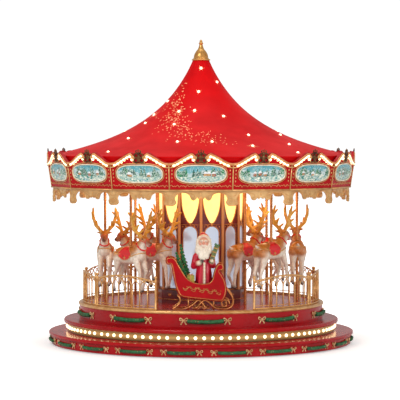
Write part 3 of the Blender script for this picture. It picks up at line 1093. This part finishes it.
for k in range(9):  # fur down the robe's front
    low = 4 + 2.9 * k
    driver.append(((0.7, -7.9, low), (0.7, -7.7, low + 1.2), 1.1, 1.1, fur))


def cloth_and_hair(points, paint, mesh):
    """Folds in the robe, strands in the beard and tufts in the fur."""
    normals = np.empty(len(points) * 3)
    mesh.vertices.foreach_get("normal", normals)
    normals = normals.reshape(-1, 3)
    pale = (paint.min(1) > 0.55) & (points[:, 2] > 30)
    beard = pale & (points[:, 1] < -2)
    strands = ripple(points * np.array([1.6, 0.8, 0.28]), 1.3, 4)
    tufts = ripple(points, 1.5, 9)
    angle = np.arctan2(points[:, 0], -points[:, 1])
    low = np.clip((33 - points[:, 2]) / 22, 0, 1)
    folds = np.sin(angle * 9 + 1.2 * np.sin(points[:, 2] * 0.12)) * low * (paint.min(1) < 0.3)
    shift = 0.42 * strands * beard + 0.22 * tufts * pale + 0.42 * folds
    return points + normals * shift[:, None], paint * (1 + 0.25 * strands * beard + 0.16 * folds + 0.08 * tufts)[:, None]


driverSpot = Vector((2.5, sleigh["middle"], sleigh["floor"]))
driverLay = Matrix.Translation(driverSpot * mm)
driverMesh = moulded("driver", driver, 0.42, 3, 0.3, cloth_and_hair)
showMesh("driverFigure", driverMesh, [], "turntable", ["driver_figure"], driverLay)
extras = bmesh.new()
driverTree = BVHTree.FromPolygons([v.co / mm for v in driverMesh.vertices], [p.vertices for p in driverMesh.polygons])
for side in (-1, 1):
    spot, outward, _, _ = driverTree.ray_cast(Vector((side * 1.9, -20, 48.6)), Vector((0, 1, 0)))
    addBall(extras, driverSpot + spot + Vector((0, 0.25, 0)), 0.62, 0, (1.25, 0.6, 0.85), 2)
    addBall(extras, driverSpot + spot + Vector((0, -0.08, 0)), 0.36, 1, (1, 0.6, 1), 2)
tilt = Matrix.Translation(driverSpot + Vector((9.6, -6.0, 37.0))) @ Matrix.Rotation(math.radians(20), 4, "Y")
gift = bmesh.ops.create_cube(extras, size=1, matrix=tilt @ Matrix.Diagonal((4.2, 3.0, 18.0, 1)))
for f in {f for v in gift["verts"] for f in v.link_faces}:
    f.material_index = 2
for z in (-6.0, -2.0, 2.0, 6.0):
    band = bmesh.ops.create_cube(extras, size=1, matrix=tilt @ Matrix.Translation((0, 0, z)) @ Matrix.Diagonal((4.4, 3.2, 0.9, 1)))
    for f in {f for v in band["verts"] for f in v.link_faces}:
        f.material_index = 3
for side in (-1, 1):
    addTube(extras, flowing([tilt @ Vector(p) for p in ((0, 0, 9), (side * 1.6, 0, 10.2), (side * 2.2, 0, 9.0), (side * 0.6, 0, 8.8))], 4),
            0.45, 4, 6)
giftGreen = finish("giftGreen", {"colour": tone(120, 126, 74), "second": tone(70, 92, 50), "rough": 0.3, "coat": 0.3, "cloud": 320})
eyeWhite = finish("eyeWhite", {"colour": tone(244, 240, 232), "second": tone(228, 222, 212), "rough": 0.25, "cloud": 300})
finishPiece("driverDetails", extras, [eyeWhite, eyeDark, giftGreen, gold, treeGreen], "turntable")
print("driver made")


# ---- column trim -------------------------------------------------------------------------------------------
trim = bmesh.new()
column = {"apothem": 41.05, "sides": 12}
face = Matrix.Translation((0, -column["apothem"], 0))


def onColumn(x, z, lift=0.2):
    return face @ Vector((x, -lift, z))


arch = [(-7.4, 56.2), (-7.4, 110.2)] + [(-7.4 * math.cos(math.pi * k / 14), 110.2 + 7.5 * math.sin(math.pi * k / 14))
                                       for k in range(1, 14)] + [(7.4, 110.2), (7.4, 56.2)]
addTube(trim, [onColumn(x, z) for x, z in arch], 0.5, 0, 6, True)
for z, size in ((54.6, 0.7), (45.0, 0.5), (119.0, 0.35)):
    reach = 11.0 if z > 54.2 else 11.6
    addTube(trim, [onColumn(-reach, z, 0.2 if z > 54.2 else 2.6), onColumn(reach, z, 0.2 if z > 54.2 else 2.6)], size, 0, 6)
tulip = [(9.6, 152.0), (8.9, 140.0), (5.6, 127.2), (0.0, 119.7), (-5.6, 127.2), (-8.9, 140.0), (-9.6, 152.0)]
addTube(trim, flowing([onColumn(x, z) for x, z in tulip], 6), 0.45, 0, 6)
for side in (-1, 1):
    addTube(trim, flowing([onColumn(side * x, z) for x, z in ((0.6, 118.6), (3.0, 119.4), (4.6, 117.4), (3.2, 116.2))], 4), 0.35, 0, 5)
    addBall(trim, onColumn(side * 7.6, 117.0), 0.8, 0, (1, 0.5, 1), 1)
addBall(trim, onColumn(0, 118.9), 1.1, 0, (1, 0.5, 1.2), 2)
addBall(trim, onColumn(0, 49.5, 2.5), 1.6, 0, (1.6, 0.4, 1), 2)
bmesh.ops.rotate(trim, verts=list(trim.verts), cent=(0, 0, 0), matrix=Matrix.Rotation(math.radians(15), 3, "Z"))
copyAround(trim, [15 + 30 * i for i in range(12)])
finishPiece("columnTrim", trim, [copperGold], "turntable")
print("column trimmed")


# ---- studio ------------------------------------------------------------------------------------------------
def stageObject(name, verts, faces, material):
    mesh = bpy.data.meshes.new(name)
    mesh.from_pydata(verts, [], faces)
    mesh.materials.append(material)
    obj = bpy.data.objects.new(name, mesh)
    bpy.context.scene.collection.objects.link(obj)


floorWhite = bpy.data.materials.new("floorWhite")
floorWhite.use_nodes = True
tree = floorWhite.node_tree
make, link = tree.nodes.new, tree.links.new
paper = tree.nodes["Principled BSDF"]
paper.inputs["Base Color"].default_value = (0.92, 0.92, 0.92, 1)
paper.inputs["Roughness"].default_value = 0.6
paper.inputs["Emission Color"].default_value = (1, 1, 1, 1)
path = make("ShaderNodeLightPath")
where = make("ShaderNodeTexCoord")
away = make("ShaderNodeVectorMath")
away.operation = "LENGTH"
link(where.outputs["Object"], away.inputs[0])
fade = make("ShaderNodeMapRange")
fade.interpolation_type = "SMOOTHSTEP"
fade.inputs["From Min"].default_value = 0.15
fade.inputs["From Max"].default_value = 0.32
fade.inputs["To Min"].default_value = 0.35
link(away.outputs["Value"], fade.inputs["Value"])
seen = make("ShaderNodeMath")
seen.operation = "MULTIPLY"
link(path.outputs["Is Camera Ray"], seen.inputs[0])
link(fade.outputs["Result"], seen.inputs[1])
link(seen.outputs["Value"], paper.inputs["Emission Strength"])
stageObject("floor", [(-4, -4, -0.0002), (4, -4, -0.0002), (4, 4, -0.0002), (-4, 4, -0.0002)], [(0, 1, 2, 3)], floorWhite)
world = bpy.data.worlds.new("studio")
bpy.context.scene.world = world
world.use_nodes = True
sky = world.node_tree
background = sky.nodes["Background"]
background.inputs["Color"].default_value = (1.0, 0.985, 0.96, 1)
background.inputs["Strength"].default_value = 0.5
backdrop = sky.nodes.new("ShaderNodeBackground")
backdrop.inputs["Color"].default_value = (1, 1, 1, 1)
backdrop.inputs["Strength"].default_value = 1.05
either = sky.nodes.new("ShaderNodeMixShader")
path = sky.nodes.new("ShaderNodeLightPath")
sky.links.new(path.outputs["Is Camera Ray"], either.inputs["Fac"])
sky.links.new(background.outputs["Background"], either.inputs[1])
sky.links.new(backdrop.outputs["Background"], either.inputs[2])
sky.links.new(either.outputs["Shader"], sky.nodes["World Output"].inputs["Surface"])


def softBox(name, place, target, size, power, colour=(1, 1, 1)):
    data = bpy.data.lights.new(name, "AREA")
    data.shape = "RECTANGLE"
    data.size, data.size_y = size
    data.energy = power
    data.color = colour
    obj = bpy.data.objects.new(name, data)
    bpy.context.scene.collection.objects.link(obj)
    obj.location = place
    obj.rotation_euler = (Vector(target) - Vector(place)).to_track_quat("-Z", "Y").to_euler()


softBox("keyLight", (-0.9, -1.5, 1.2), (0, 0, 0.15), (0.8, 0.8), 15)
softBox("fillLight", (1.2, -1.4, 0.7), (0, 0, 0.15), (0.8, 0.8), 8)
softBox("topLight", (0, 0.3, 1.8), (0, 0, 0.1), (1.0, 1.0), 7)
for angle in range(0, 360, 60):  # the warm light of the lamps under the canopy
    data = bpy.data.lights.new("canopyLight", "POINT")
    data.energy = 0.045
    data.color = (1.0, 0.72, 0.38)
    data.shadow_soft_size = 0.02
    glowLamp = bpy.data.objects.new("canopyLight", data)
    bpy.context.scene.collection.objects.link(glowLamp)
    glowLamp.location = around(78, angle, 140) * mm
camera = bpy.data.cameras.new("camera")
camera.lens = 180.7
camera.sensor_width = 36
cameraObject = bpy.data.objects.new("camera", camera)
bpy.context.scene.collection.objects.link(cameraObject)
cameraObject.location = (-0.001, -2.008, 0.212)
cameraObject.rotation_euler = (Vector((-0.001, 0, 0.142)) - cameraObject.location).to_track_quat("-Z", "Y").to_euler()
bpy.context.scene.camera = cameraObject
bpy.context.scene.view_settings.view_transform = "Standard"
print("size written")
